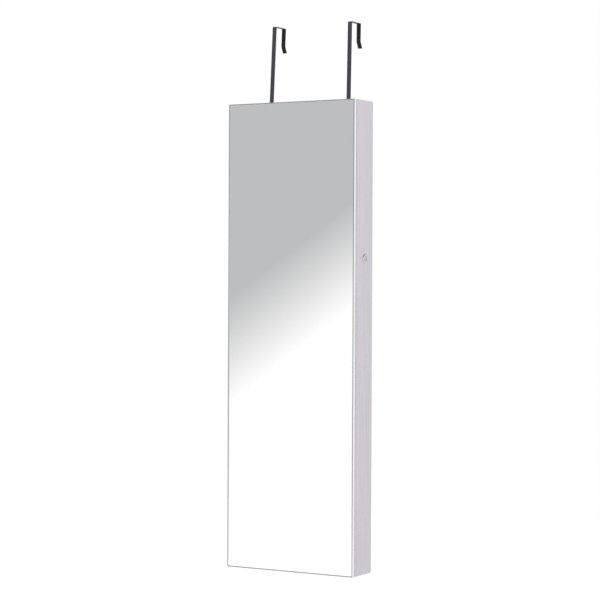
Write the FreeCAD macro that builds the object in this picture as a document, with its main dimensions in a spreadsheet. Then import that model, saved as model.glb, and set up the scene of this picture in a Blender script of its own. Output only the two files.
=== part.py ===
import FreeCAD, Part
import math
import os
import re
import Sketcher
from FreeCAD import Placement, Rotation, Vector

# A tall jewelry cabinet whose whole front is a mirror door. It hangs over a room door by two flat hooks.
# Millimetres. X runs to the right seen from the front, Y to the back and Z up.
# The origin is in the middle of the cabinet's footprint, on its underside.

SIZES = {
    # the cabinet's box
    "cabinet_width": 370,
    "cabinet_depth": 100,
    "cabinet_height": 1200,
    "side_wall": 12,
    "end_wall": 12,
    "back_wall": 3,
    "back_step": 5,  # how far the back board reaches into the boards round it
    "board_chamfer": 0.8,
    # clearances
    "fit_gap": 0.3,  # between pieces that are put together
    "shaft_gap": 0.05,  # round a shaft, a dowel or a screw in its hole
    "cut_margin": 1,  # how far a cutting shape reaches past the solid
    # the door
    "mirror_wall": 3,
    "door_wall": 8,
    "door_seam": 1.5,  # open line between the door and the cabinet
    "trim_wall": 1,
    "trim_face": 3,
    "trim_side": 7,
    "felt_wall": 1.2,
    "lining_margin": 5,  # bare wood round the door's felt
    "lining_side_margin": 25,  # wider bare strip that holds the keeper and the strike plate
    "bumper_radius": 4,
    "bumper_inset": 30,
    # the hinges
    "hinge_inset": 130,
    "leaf_wall": 1,
    "leaf_gap": 0.3,
    "leaf_height": 42,
    "leaf_reach": 13.2,
    "leaf_screw_spacing": 26,
    "middle_knuckle": 14,
    "barrel_radius": 2.4,
    "barrel_gap": 0.3,
    "knuckle_gap": 0.3,
    "pin_radius": 1.2,
    "pin_head_radius": 2,
    "pin_head_height": 1,
    # screws
    "screw_radius": 1.3,
    "screw_head_radius": 2.3,
    "screw_length": 14,
    "short_screw_length": 6.6,  # for the door board, which is thin
    "screw_head_angle": 45,  # degrees between the head's cone and the axis
    "pan_head": 1.5,  # height of the catch screws' heads
    # the hooks over the room door
    "strap_width": 11.5,
    "strap_wall": 1.5,
    "hook_left_inset": 67.9,  # from the cabinet's outer side
    "hook_right_inset": 71.7,
    "hook_left_lean": 2.4,  # degrees that the top leans to the right
    "hook_right_lean": 0.9,
    "hook_drop": 37,  # from the cabinet's top down to the middle of the two screws
    "strap_tail": 23,
    "hook_rise": 246,
    "hook_mouth": 46.5,  # room for the door that the cabinet hangs on
    "hook_leg": 46.6,
    "lip_drop": 17.5,
    "lip_out": 9.5,
    "front_bend": 1,
    "rear_bend": 1.5,
    "lip_bend": 6,
    "strap_play": 3,
    "hook_screw_spacing": 26,
    "hook_screw_radius": 2,
    "hook_screw_head_radius": 3.5,
    "hook_screw_length": 14,
    # the rail that the hooks and the wall screws hold
    "rail_wall": 12,
    "rail_height": 60,
    "wall_hole_radius": 2.5,
    "wall_hole_spacing": 120,
    # the joints of the box
    "dowel_radius": 3,
    "dowel_in_side": 8,
    "dowel_in_end": 16,
    "dowel_front_inset": 18,
    "dowel_back_inset": 22,
    # the inside
    "shelf_wall": 8,
    "shelf_setback": 6.5,
    "shelf_pin_radius": 2.5,
    "shelf_pin_reach": 7,
    "pin_front_inset": 15,
    "pin_back_inset": 16,
    "ring_bay_height": 180,
    "earring_bay_height": 142,
    "lower_bay_height": 140,
    "upper_bay_height": 132,
    "lip_height": 28,
    "lip_wall": 6,
    "lip_round": 1.5,
    "ring_board_wall": 6,
    "roll_radius": 12,
    "roll_bevel": 3,
    "roll_pitch": 25,
    "roll_count": 4,
    "cleat_width": 10,
    "cleat_depth": 14,
    "cleat_groove": 6,
    "panel_wall": 3,
    "panel_inset": 36.5,
    "slot_width": 2,
    "slot_height": 16,
    "slot_rows": 4,
    "slot_row_pitch": 32,
    "slot_columns": 20,
    "slot_column_pitch": 15,
    "hook_rail_wall": 8,
    "hook_rail_height": 30,
    "hook_rail_drop": 20,
    "peg_radius": 1.6,
    "peg_reach": 17,
    "peg_tip": 8,
    "peg_count": 10,
    "peg_pitch": 30,
    "rod_radius": 6,
    "rod_wall": 1,
    "rod_drop": 210,
    "rod_inset": 32,
    "socket_radius": 10,
    "socket_height": 7,
    "socket_depth": 5,
    # the lock, with its turning plug and hook cam
    "lock_inset": 57,  # from the mirror's face
    "lock_drop": 50,  # below the necklace shelf
    "flange_radius": 12,
    "flange_wall": 2.4,
    "flange_rim": 0.8,  # height of the flange's upright edge
    "flange_slope": 3,  # width of the sloped ring inside that edge
    "groove_width": 1.3,  # ring cut into the face round the plug
    "groove_depth": 1.2,
    "housing_radius": 8,
    "housing_length": 22,
    "plug_radius": 5.5,
    "plug_sink": 0.4,
    "key_slot_width": 1.4,
    "key_slot_height": 7,
    "key_slot_depth": 9,
    "nut_wall": 3,
    "nut_radius": 12.5,  # to its corners
    "tail_side": 7,
    "cam_wall": 2,
    "cam_hub_radius": 9,
    "cam_arm_width": 8.5,
    "cam_nose_wall": 5,
    "cam_nose_angle": 15,  # degrees each side of the arm's middle line
    "cam_play": 0.8,
    "cam_screw_radius": 1.5,
    "cam_screw_length": 9,
    "cam_screw_head_radius": 5,
    "cam_screw_head_height": 2.4,
    "cam_screw_bevel": 0.8,
    # the keeper that the cam hooks
    "keeper_wall": 1.5,
    "keeper_width": 18,
    "keeper_height": 32,
    "keeper_screw_spacing": 20,
    "loop_wall": 2.5,
    "loop_height": 4,
    "loop_width": 14,
    "loop_reach": 13,
    "loop_round": 2,
    # the magnetic catch
    "catch_rise": 34,  # above the upper shelf's lip
    "catch_width": 14,
    "catch_depth": 14,
    "catch_height": 40,
    "catch_shell": 2,
    "catch_lug": 9,
    "catch_lug_wall": 3,
    "catch_lug_depth": 8,
    "catch_screw_length": 7,
    "magnet_depth": 8,
    "magnet_wall": 6,
    "pole_wall": 1.5,
    "pole_sink": 0.3,  # air between the poles and the strike plate
    "strike_wall": 1,
    "strike_width": 12,
    "strike_height": 36,
    "strike_screw_spacing": 24,
}

# Planes and lengths that follow from the sizes. Each is an expression, and one may use another.
PLACES = {
    "half_width": "cabinet_width / 2",
    "front": "-cabinet_depth / 2",
    "back": "cabinet_depth / 2",
    "mirror_front": "front + trim_wall",
    "board_front": "mirror_front + mirror_wall",
    "trim_back": "front + trim_side",
    "door_back": "board_front + door_wall",
    "body_front": "door_back + door_seam",
    "back_board_back": "back - strap_wall",
    "back_board_front": "back_board_back - back_wall",
    "inner_half": "half_width - side_wall",
    "inner_top": "cabinet_height - end_wall",
    "inner_face": "back_board_front - felt_wall",
    "shelf_front": "body_front + shelf_setback",
    "shelf_back": "inner_face - fit_gap",
    "shelf_half": "inner_half - fit_gap",
    # heights of the shelves' undersides
    "ring_shelf": "inner_top - ring_bay_height - shelf_wall",
    "earring_shelf": "ring_shelf - earring_bay_height - shelf_wall",
    "lower_shelf": "end_wall + lower_bay_height",
    "middle_shelf": "lower_shelf + shelf_wall + upper_bay_height",
    "upper_shelf": "middle_shelf + shelf_wall + upper_bay_height",
    # hinges
    "pin_x": "-half_width - barrel_gap - barrel_radius",
    "pin_y": "(door_back + body_front) / 2",
    "cabinet_leaf_front": "pin_y + leaf_gap / 2",
    "cabinet_leaf_back": "cabinet_leaf_front + leaf_wall",
    "door_leaf_back": "pin_y - leaf_gap / 2",
    "door_leaf_front": "door_leaf_back - leaf_wall",
    "leaf_screw_x": "-half_width + side_wall / 2",
    "top_hinge": "cabinet_height - hinge_inset",
    "middle_hinge": "cabinet_height / 2",
    "bottom_hinge": "hinge_inset",
    # hooks
    "hook_height": "cabinet_height - hook_drop",
    "hook_left_x": "-half_width + hook_left_inset",
    "hook_right_x": "half_width - hook_right_inset",
    "rail_low": "inner_top - rail_height",
    "rail_front": "back_board_front - rail_wall",
    "lip_angle": "atan(lip_out / lip_drop)",
    # lock
    "lock_y": "front + lock_inset",
    "lock_z": "earring_shelf - lock_drop",
    "flange_face": "half_width + flange_wall",
    "housing_end": "half_width - housing_length",
    "cam_outer": "housing_end - fit_gap",
    "cam_inner": "cam_outer - cam_wall",
    "cam_middle": "cam_outer - cam_wall / 2",
    "keeper_face": "door_back + keeper_wall",
    "loop_end": "keeper_face + loop_reach",
    "nose_inner": "lock_y - loop_end + loop_wall + cam_play",
    "nose_outer": "nose_inner + cam_nose_wall",
    # catch
    "catch_z": "upper_shelf + shelf_wall + lip_height + catch_rise",
    "strike_face": "door_back + strike_wall",
    "pole_front": "strike_face + pole_sink",
    "catch_inner": "inner_half - catch_width",
    "catch_middle": "inner_half - catch_width / 2",
    "panel_y": "body_front + panel_inset",
}

HINGE_HEIGHTS = {"top": "top_hinge", "middle": "middle_hinge", "bottom": "bottom_hinge"}
SHELVES = ("ring_shelf", "earring_shelf", "upper_shelf", "middle_shelf", "lower_shelf")

# For the axis across each origin plane: the plane's role, the sketch's two axes, and the side it faces.
PLANES = {"z": ("XY_Plane", "xy", 1), "y": ("XZ_Plane", "xz", -1), "x": ("YZ_Plane", "yz", 1)}
NEAR = 0.001  # two points closer than this are one point
FULL_TURN = 360
NUT_SIDES = 6

doc = FreeCAD.newDocument("JewelryCabinet")
sheet = doc.addObject("Spreadsheet::Sheet", "Sizes")
corners = {}  # each body's corner, as three expressions
bodies = []


def fill_sheet():
    for row, (name, size) in enumerate(SIZES.items(), start=1):
        sheet.set(f"A{row}", name)
        sheet.set(f"B{row}", str(size))
        sheet.setAlias(f"B{row}", name)
    doc.recompute()


def expand(text):
    """The expression with each place opened up and each size named as its cell of the sheet."""

    def cell(match):
        word = match.group(0)
        if word in PLACES:
            return "(" + expand(PLACES[word]) + ")"
        return "Sizes." + word if word in SIZES else word

    return re.sub(r"[a-z][a-z_]*", cell, str(text))


def value(text):
    return float(sheet.evalExpression(expand(text)))


def bind(item, field, text):
    item.setExpression(field, expand(text))


def start_body(name, corner=("0", "0", "0"), lean=None):
    """A new sub-part, set down at its corner; a lean turns it about Y through that corner."""
    body = doc.addObject("PartDesign::Body", name)
    body.Label = name
    body.AllowCompound = True
    if lean:
        body.Placement = Placement(Vector(), Rotation(Vector(0, 1, 0), value(lean)))
        bind(body, "Placement.Rotation.Angle", lean)
    for axis, text in zip("xyz", corner):
        bind(body, "Placement.Base." + axis, text)
    corners[name] = dict(zip("xyz", corner))
    bodies.append(body)
    return body


def local(body, axis, text):
    return f"({text}) - ({corners[body.Name][axis]})"


def origin_part(body, role):
    return next(part for part in body.Origin.OriginFeatures if part.Role == role)


# Shapes that a sketch can hold. Every coordinate is an expression in the cabinet's own frame.
def loop(*points):
    return ("loop", points)


def box(left, right, low, high):
    return loop((left, low), (right, low), (right, high), (left, high))


def disc(u, v, radius):
    return ("disc", ((u, v),), radius)


def pin_point(sketch, geometry, point, u, v):
    for kind, text in (("DistanceX", u), ("DistanceY", v)):
        number = sketch.addConstraint(Sketcher.Constraint(kind, -1, 1, geometry, point, value(text)))
        bind(sketch, f"Constraints[{number}]", text)


def draw(body, across, level, shapes, closed=True):
    """A sketch on the origin plane across the given axis, moved along that axis to the level."""
    role, axes, facing = PLANES[across]
    sketch = body.newObject("Sketcher::SketchObject", body.Name + "_sketch")
    sketch.AttachmentSupport = [(origin_part(body, role), "")]
    sketch.MapMode = "FlatFace"
    bind(sketch, "AttachmentOffset.Base.z", f"{facing} * ({local(body, across, level)})")
    for shape in shapes:
        places = [[local(body, axis, text) for axis, text in zip(axes, point)] for point in shape[1]]
        spots = [Vector(value(u), value(v), 0) for u, v in places]
        if shape[0] == "disc":
            number = sketch.addGeometry(Part.Circle(spots[0], Vector(0, 0, 1), value(shape[2])))
            pin_point(sketch, number, 3, *places[0])
            radius = sketch.addConstraint(Sketcher.Constraint("Radius", number, value(shape[2])))
            bind(sketch, f"Constraints[{radius}]", shape[2])
            continue
        first = sketch.GeometryCount
        count = len(spots) if closed else len(spots) - 1
        for step in range(count):
            sketch.addGeometry(Part.LineSegment(spots[step], spots[(step + 1) % len(spots)]))
            pin_point(sketch, first + step, 1, *places[step])
        for step in range(count if closed else count - 1):
            following = first + (step + 1) % count
            sketch.addConstraint(Sketcher.Constraint("Coincident", first + step, 2, following, 1))
        if not closed:
            pin_point(sketch, first + count - 1, 2, *places[-1])
    return sketch


def add_between(body, across, low, high, *shapes, taper=None):
    """Material between two levels of an axis. A taper draws it in towards the high level."""
    sketch = draw(body, across, low, shapes)
    pad = body.newObject("PartDesign::Pad", body.Name + "_pad")
    pad.Profile = sketch
    pad.Reversed = across == "y"
    bind(pad, "Length", f"({high}) - ({low})")
    if taper:
        bind(pad, "TaperAngle", taper)
    return pad


def cut_between(body, across, low, high, *shapes):
    """The same the other way: room between two levels of an axis."""
    sketch = draw(body, across, low, shapes)
    pocket = body.newObject("PartDesign::Pocket", body.Name + "_pocket")
    pocket.Profile = sketch
    pocket.Reversed = across != "y"
    bind(pocket, "Length", f"({high}) - ({low})")
    return pocket


def sink_holes(body, across, level, towards, spots, radius, head_radius, depth):
    """Countersunk screw holes from a level, towards +1 or -1 along the axis."""
    sketch = draw(body, across, level, [disc(u, v, radius) for u, v in spots])
    doc.recompute()
    hole = body.newObject("PartDesign::Hole", body.Name + "_hole")
    hole.Profile = sketch
    hole.DepthType = "Dimension"
    hole.DrillPoint = "Flat"
    hole.HoleCutType = "Countersink"
    hole.HoleCutCustomValues = True
    hole.Reversed = towards == PLANES[across][2]
    bind(hole, "Diameter", f"2 * ({radius})")
    bind(hole, "HoleCutDiameter", f"2 * ({head_radius})")
    bind(hole, "HoleCutCountersinkAngle", "2 * screw_head_angle")
    bind(hole, "Depth", depth)
    return hole


def round_edges(body, across, spots, radius):
    """Rounds the straight edges along one axis that pass through the given points."""
    doc.recompute()
    tip = body.Tip
    axes = PLANES[across][1]
    names = []
    for u, v in spots:
        at = [value(local(body, axis, text)) for axis, text in zip(axes, (u, v))]
        for number, edge in enumerate(tip.Shape.Edges, start=1):
            ends = [[getattr(vertex.Point, axis) for axis in axes] for vertex in edge.Vertexes]
            if len(ends) == 2 and all(math.dist(end, at) < NEAR for end in ends):
                names.append(f"Edge{number}")
    fillet = body.newObject("PartDesign::Fillet", body.Name + "_fillet")
    fillet.Base = (tip, names)
    bind(fillet, "Radius", radius)


def bevel_rims(body, test, width):
    """Bevels the circular edges whose centre passes the test."""
    doc.recompute()
    tip = body.Tip
    names = []
    for number, edge in enumerate(tip.Shape.Edges, start=1):
        if edge.Curve.TypeId == "Part::GeomCircle" and test(edge.Curve):
            names.append(f"Edge{number}")
    bevel = body.newObject("PartDesign::Chamfer", body.Name + "_bevel")
    bevel.Base = (tip, names)
    bind(bevel, "Size", width)


def repeat(body, feature, axis_role, pitch, count):
    """Copies of one feature in a row."""
    doc.recompute()
    row = body.newObject("PartDesign::LinearPattern", body.Name + "_row")
    row.Originals = [feature]
    row.Direction = (origin_part(body, axis_role), [""])
    row.Mode = "Spacing"
    bind(row, "Offset", pitch)
    bind(row, "Occurrences", count)
    body.Tip = row


def add_screws(body, across, level, towards, spots, radius, head_radius, length):
    """Countersunk screws with their heads flush at the level: a coned head and a plain shank."""
    head = f"({head_radius} - {radius})"
    steps = (("0", head, head_radius, "-screw_head_angle"), (head, length, radius, None))
    for start, stop, size, taper in steps:
        discs = [disc(u, v, size) for u, v in spots]
        sketch = draw(body, across, f"{level} + {towards} * ({start})", discs)
        pad = body.newObject("PartDesign::Pad", body.Name + "_pad")
        pad.Profile = sketch
        pad.Reversed = towards != PLANES[across][2]
        bind(pad, "Length", f"({stop}) - ({start})")
        if taper:
            bind(pad, "TaperAngle", taper)


# Where the screws go, each as its two coordinates across its own axis.
def leaf_spots(height):
    return [("leaf_screw_x", f"{height} + {end} * leaf_screw_spacing / 2") for end in (-1, 1)]


def all_leaf_spots():
    return [spot for height in HINGE_HEIGHTS.values() for spot in leaf_spots(height)]


def keeper_spots():
    return [("cam_middle", f"lock_z + {end} * keeper_screw_spacing / 2") for end in (-1, 1)]


def strike_spots():
    return [("catch_middle", f"catch_z + {end} * strike_screw_spacing / 2") for end in (-1, 1)]


def catch_spots():
    lug = "(catch_height + catch_lug) / 2"
    return [("pole_front + catch_depth / 2", f"catch_z + {end} * {lug}") for end in (-1, 1)]


def wall_spots():
    return [(f"{side} * wall_hole_spacing / 2", "hook_height") for side in (-1, 1)]


def hook_spots(x):
    return [(x, f"hook_height + {end} * hook_screw_spacing / 2") for end in (-1, 1)]


def dowel_spots():
    depths = ("body_front + dowel_front_inset", "back - dowel_back_inset")
    return [(y, z) for y in depths for z in ("end_wall / 2", "cabinet_height - end_wall / 2")]


def shelf_pin_spots():
    depths = ("shelf_front + pin_front_inset", "shelf_back - pin_back_inset")
    return [(y, f"{shelf} - shelf_pin_radius") for y in depths for shelf in SHELVES]


def make_side_board(name, side):
    """One long side; side is -1 on the left and 1 on the right."""
    outer = f"{side} * half_width"
    body = start_body(name, (outer, "body_front", "0"))
    inner = f"{side} * inner_half"
    step = f"{side} * (inner_half + back_step)"
    edge = f"{side} * (half_width - board_chamfer)"
    section = loop(
        (edge, "body_front"),
        (inner, "body_front"),
        (inner, "back_board_front"),
        (step, "back_board_front"),
        (step, "back"),
        (edge, "back"),
        (outer, "back - board_chamfer"),
        (outer, "body_front + board_chamfer"),
    )
    add_between(body, "z", "0", "cabinet_height", section)
    pins = [disc(y, z, "shelf_pin_radius + shaft_gap") for y, z in shelf_pin_spots()]
    dowels = [disc(y, z, "dowel_radius + shaft_gap") for y, z in dowel_spots()]
    for shapes, depth in ((pins, "shelf_pin_reach + shaft_gap"), (dowels, "dowel_in_side + shaft_gap")):
        levels = [inner, f"{side} * (inner_half + {depth})"]
        cut_between(body, "x", *levels[::side], *shapes)
    return body


def make_left_side():
    body = make_side_board("left_side", -1)
    for height in HINGE_HEIGHTS.values():
        low = f"{height} - leaf_height / 2 - fit_gap"
        high = f"{height} + leaf_height / 2 + fit_gap"
        seat = box("-half_width - cut_margin", "pin_x + leaf_reach + fit_gap", low, high)
        cut_between(body, "y", "body_front - cut_margin", "cabinet_leaf_back", seat)
    holes = [disc(x, z, "screw_radius + shaft_gap") for x, z in all_leaf_spots()]
    cut_between(body, "y", "body_front", "cabinet_leaf_front + screw_length + shaft_gap", *holes)


def make_right_side():
    body = make_side_board("right_side", 1)
    lock = disc("lock_y", "lock_z", "housing_radius + shaft_gap")
    cut_between(body, "x", "inner_half - cut_margin", "half_width + cut_margin", lock)
    holes = [disc(y, z, "screw_radius + shaft_gap") for y, z in catch_spots()]
    holes_end = "inner_half - catch_lug_wall + catch_screw_length + 2 * shaft_gap"
    cut_between(body, "x", "inner_half", holes_end, *holes)


def make_end_board(name, top):
    """The top or bottom board, between the two sides."""
    inner, outer, way = ("inner_top", "cabinet_height", 1) if top else ("end_wall", "0", -1)
    step = f"{inner} + {way} * back_step"
    body = start_body(name, ("-inner_half", "body_front", outer))
    section = loop(
        ("body_front", outer),
        ("body_front", inner),
        ("back_board_front", inner),
        ("back_board_front", step),
        ("back", step),
        ("back", outer),
    )
    add_between(body, "x", "-inner_half", "inner_half", section)
    middle = f"({inner} + {outer}) / 2"
    holes = [disc(y, middle, "dowel_radius + shaft_gap") for y in sorted({y for y, z in dowel_spots()})]
    depth = "dowel_in_end + shaft_gap"
    cut_between(body, "x", "-inner_half", f"-inner_half + {depth}", *holes)
    cut_between(body, "x", f"inner_half - ({depth})", "inner_half", *holes)
    return body


def make_top_board():
    body = make_end_board("top_board", True)
    reach = "strap_width / 2 + strap_play"
    for x in ("hook_left_x", "hook_right_x"):
        notch = box(f"{x} - ({reach})", f"{x} + {reach}", "back_board_back", "back + cut_margin")
        cut_between(body, "z", "inner_top", "cabinet_height + cut_margin", notch)


def make_back_board():
    half = "inner_half + back_step - fit_gap"
    low = "end_wall - back_step + fit_gap"
    high = "inner_top + back_step - fit_gap"
    body = start_body("back_board", (f"-({half})", "back_board_front", low))
    add_between(body, "y", "back_board_front", "back_board_back", box(f"-({half})", half, low, high))
    wall = [disc(x, z, "wall_hole_radius") for x, z in wall_spots()]
    cut_between(body, "y", "back_board_front", "back_board_back", *wall)
    cut_hook_screw_holes(body)


def make_hanging_rail():
    """The batten at the top that carries the whole weight, with two holes for wall screws."""
    body = start_body("hanging_rail", ("-inner_half", "rail_front", "rail_low"))
    outline = box("-inner_half", "inner_half", "rail_low", "inner_top")
    add_between(body, "y", "rail_front", "back_board_front", outline)
    wall = [disc(x, z, "wall_hole_radius") for x, z in wall_spots()]
    cut_between(body, "y", "rail_front", "back_board_front", *wall)
    cut_hook_screw_holes(body)


def cut_hook_screw_holes(body):
    """Pilot holes for the hooks' screws, along each hook's own lean."""
    end = "back - hook_screw_length - shaft_gap"
    for x, lean in (("hook_left_x", "hook_left_lean"), ("hook_right_x", "hook_right_lean")):
        spots = []
        for way in (-1, 1):
            arm = f"{way} * hook_screw_spacing / 2"
            spots.append((f"{x} + {arm} * sin({lean})", f"hook_height + {arm} * cos({lean})"))
        holes = [disc(u, v, "hook_screw_radius + shaft_gap") for u, v in spots]
        cut_between(body, "y", end, "back", *holes)


def make_dowels():
    body = start_body("carcass_dowels")
    dowels = [disc(y, z, "dowel_radius") for y, z in dowel_spots()]
    for side in (-1, 1):
        levels = [f"{side} * (inner_half - dowel_in_end)", f"{side} * (inner_half + dowel_in_side)"]
        add_between(body, "x", *levels[::side], *dowels)


def make_shelf(name):
    body = start_body(name, ("-shelf_half", "shelf_front", name))
    outline = box("-shelf_half", "shelf_half", "shelf_front", "shelf_back")
    add_between(body, "z", name, f"{name} + shelf_wall", outline)


def make_shelf_pins():
    body = start_body("shelf_pins")
    pins = [disc(y, z, "shelf_pin_radius") for y, z in shelf_pin_spots()]
    for side in (-1, 1):
        levels = [f"{side} * (inner_half - shelf_pin_reach)", f"{side} * (inner_half + shelf_pin_reach)"]
        add_between(body, "x", *levels[::side], *pins)


def lipped_floors():
    """Tops of the four floors that have a lip: the bottom board and the three low shelves."""
    return ["end_wall"] + [f"{shelf} + shelf_wall" for shelf in SHELVES[2:]]


def make_shelf_lips():
    body = start_body("shelf_lips")
    for floor in lipped_floors():
        top = f"{floor} + lip_height"
        strip = box("shelf_front", "shelf_front + lip_wall", floor, top)
        add_between(body, "x", "-shelf_half", "shelf_half", strip)
    faces = ("shelf_front", "shelf_front + lip_wall")
    tops = [(y, f"{floor} + lip_height") for floor in lipped_floors() for y in faces]
    round_edges(body, "x", tops, "lip_round")


def make_shelf_mats():
    body = start_body("shelf_mats")
    depths = ("shelf_front + lip_wall + fit_gap", "inner_face - fit_gap")
    for floor in lipped_floors():
        add_between(body, "z", floor, f"{floor} + felt_wall", box("-shelf_half", "shelf_half", *depths))


def make_back_lining():
    body = start_body("back_lining", ("-shelf_half", "inner_face", "end_wall"))
    outline = box("-shelf_half", "shelf_half", "end_wall + fit_gap", "ring_shelf + shelf_wall")
    add_between(body, "y", "inner_face", "back_board_front", outline)


def make_ring_cushion():
    """The board behind the ring rolls, and the rolls: long padded bars that pinch rings between them."""
    low = "ring_shelf + shelf_wall"
    board = start_body("ring_board", ("-shelf_half", "back_board_front", low))
    outline = box("-shelf_half", "shelf_half", low, "rail_low - fit_gap")
    add_between(board, "y", "back_board_front - ring_board_wall", "back_board_front", outline)
    rolls = start_body("ring_rolls")
    first = f"{low} + fit_gap + roll_radius"
    y = "back_board_front - ring_board_wall - fit_gap - roll_radius"
    section = disc(y, first, "roll_radius")
    roll = add_between(rolls, "x", "-shelf_half + fit_gap", "shelf_half - fit_gap", section)
    bevel_rims(rolls, lambda curve: True, "roll_bevel")
    bevel = rolls.Tip
    doc.recompute()
    row = rolls.newObject("PartDesign::LinearPattern", "ring_rolls_row")
    row.Originals = [roll, bevel]
    row.Direction = (origin_part(rolls, "Z_Axis"), [""])
    row.Mode = "Spacing"
    bind(row, "Offset", "roll_pitch")
    bind(row, "Occurrences", "roll_count")
    rolls.Tip = row


def make_earring_panel():
    """A slotted sheet for earrings, held at its sides in two grooved cleats."""
    floor = "earring_shelf + shelf_wall"
    groove_end = "inner_half - cleat_width + cleat_groove"
    cleats = start_body("earring_cleats", ("0", "panel_y", floor))
    for side in (-1, 1):
        depths = ("inner_half", "inner_half - cleat_width", groove_end)
        wall, face, groove = (f"{side} * ({text})" for text in depths)
        play = "(panel_wall / 2 + fit_gap)"
        section = loop(
            (wall, "panel_y - cleat_depth / 2"),
            (face, "panel_y - cleat_depth / 2"),
            (face, f"panel_y - {play}"),
            (groove, f"panel_y - {play}"),
            (groove, f"panel_y + {play}"),
            (face, f"panel_y + {play}"),
            (face, "panel_y + cleat_depth / 2"),
            (wall, "panel_y + cleat_depth / 2"),
        )
        add_between(cleats, "z", floor, "ring_shelf", section)
    half = f"({groove_end} - fit_gap)"
    panel = start_body("earring_panel", (f"-{half}", "panel_y - panel_wall / 2", floor))
    sheet_outline = box(f"-{half}", half, floor, "ring_shelf - fit_gap")
    add_between(panel, "y", "panel_y - panel_wall / 2", "panel_y + panel_wall / 2", sheet_outline)
    first_x = "-(slot_columns - 1) * slot_column_pitch / 2"
    middle_z = f"({floor} + earring_bay_height / 2)"
    slots = []
    for number in range(int(value("slot_rows"))):
        z = f"{middle_z} + ({number} - (slot_rows - 1) / 2) * slot_row_pitch"
        sides = (f"{first_x} - slot_width / 2", f"{first_x} + slot_width / 2")
        slots.append(box(*sides, f"{z} - slot_height / 2", f"{z} + slot_height / 2"))
    column = cut_between(panel, "y", "panel_y - panel_wall / 2", "panel_y + panel_wall / 2", *slots)
    repeat(panel, column, "X_Axis", "slot_column_pitch", "slot_columns")


def make_necklace_rail():
    top = "earring_shelf - hook_rail_drop"
    low = f"{top} - hook_rail_height"
    body = start_body("necklace_rail", ("-shelf_half", "inner_face - hook_rail_wall", low))
    outline = box("-shelf_half", "shelf_half", low, top)
    add_between(body, "y", "inner_face - hook_rail_wall", "inner_face", outline)
    round_edges(body, "x", [("inner_face - hook_rail_wall", z) for z in (low, top)], "lip_round")


def make_necklace_pegs():
    """Bent wire pegs in a row: straight out of the rail, then up."""
    x = "-(peg_count - 1) * peg_pitch / 2"
    y = "inner_face - hook_rail_wall"
    z = "earring_shelf - hook_rail_drop - hook_rail_height / 2"
    body = start_body("necklace_pegs", (x, y, z))
    bend = (f"{y} - peg_reach", z)
    path = draw(body, "x", x, [loop((y, z), bend, (bend[0], f"{z} + peg_tip"))], closed=False)
    section = draw(body, "y", y, [disc(x, z, "peg_radius")])
    doc.recompute()
    wire = body.newObject("PartDesign::AdditivePipe", "necklace_peg")
    wire.Profile = section
    wire.Spine = (path, ["Edge1", "Edge2"])
    wire.Transition = "Right corner"
    repeat(body, wire, "X_Axis", "peg_pitch", "peg_count")


def make_bracelet_rod():
    y = "body_front + rod_inset"
    z = "earring_shelf - rod_drop"
    end = "inner_half - socket_height + socket_depth - fit_gap"
    rod = start_body("bracelet_rod", (f"-({end})", y, z))
    add_between(rod, "x", f"-({end})", end, disc(y, z, "rod_radius"))
    cut_between(rod, "x", f"-({end})", end, disc(y, z, "rod_radius - rod_wall"))
    sockets = start_body("rod_sockets", ("0", y, z))
    for side in (-1, 1):
        levels = [f"{side} * (inner_half - socket_height)", f"{side} * inner_half"]
        mouth = [levels[0], f"{side} * (inner_half - socket_height + socket_depth)"]
        add_between(sockets, "x", *levels[::side], disc(y, z, "socket_radius"))
        cut_between(sockets, "x", *mouth[::side], disc(y, z, "rod_radius + fit_gap / 2"))


def make_door_board():
    body = start_body("door_board", ("-half_width", "board_front", "0"))
    edge = "half_width - board_chamfer"
    section = loop(
        ("-half_width", "trim_back"),
        ("half_width", "trim_back"),
        ("half_width", "door_back - board_chamfer"),
        (edge, "door_back"),
        (f"-({edge})", "door_back"),
        ("-half_width", "door_back - board_chamfer"),
    )
    add_between(body, "z", "0", "cabinet_height", section)
    inset = "half_width - trim_wall"
    face = box(f"-({inset})", inset, "trim_wall", "cabinet_height - trim_wall")
    add_between(body, "y", "board_front", "trim_back", face)
    for height in HINGE_HEIGHTS.values():
        low = f"{height} - leaf_height / 2 - fit_gap"
        high = f"{height} + leaf_height / 2 + fit_gap"
        seat = box("-half_width - cut_margin", "pin_x + leaf_reach + fit_gap", low, high)
        cut_between(body, "y", "door_leaf_front", "door_back + cut_margin", seat)
    for spots, face, length in (
        (all_leaf_spots(), "door_leaf_back", "short_screw_length"),
        (keeper_spots(), "keeper_face", "short_screw_length"),
        (strike_spots(), "strike_face", "short_screw_length"),
    ):
        holes = [disc(x, z, "screw_radius + shaft_gap") for x, z in spots]
        cut_between(body, "y", f"{face} - {length} - shaft_gap", "door_back", *holes)


def make_mirror():
    half = "(half_width - trim_wall - fit_gap)"
    low = "(trim_wall + fit_gap)"
    body = start_body("mirror_glass", (f"-{half}", "mirror_front", low))
    outline = box(f"-{half}", half, low, f"cabinet_height - {low}")
    add_between(body, "y", "mirror_front", "board_front", outline)


def mitre(x_side, z_side, keep_upright):
    """The triangle that comes off a trim strip's end, so that two strips meet on a slant."""
    x = f"{x_side} * half_width"
    z = "cabinet_height" if z_side > 0 else "0"
    near, far = "cut_margin", "(trim_face + cut_margin)"
    outer = (f"{x} + {x_side} * {near}", f"{z} + {z_side} * {near}")
    inner = (f"{x} - {x_side} * {far}", f"{z} - {z_side} * {far}")
    third = (inner[0], outer[1]) if keep_upright else (outer[0], inner[1])
    return loop(outer, inner, third)


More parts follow.
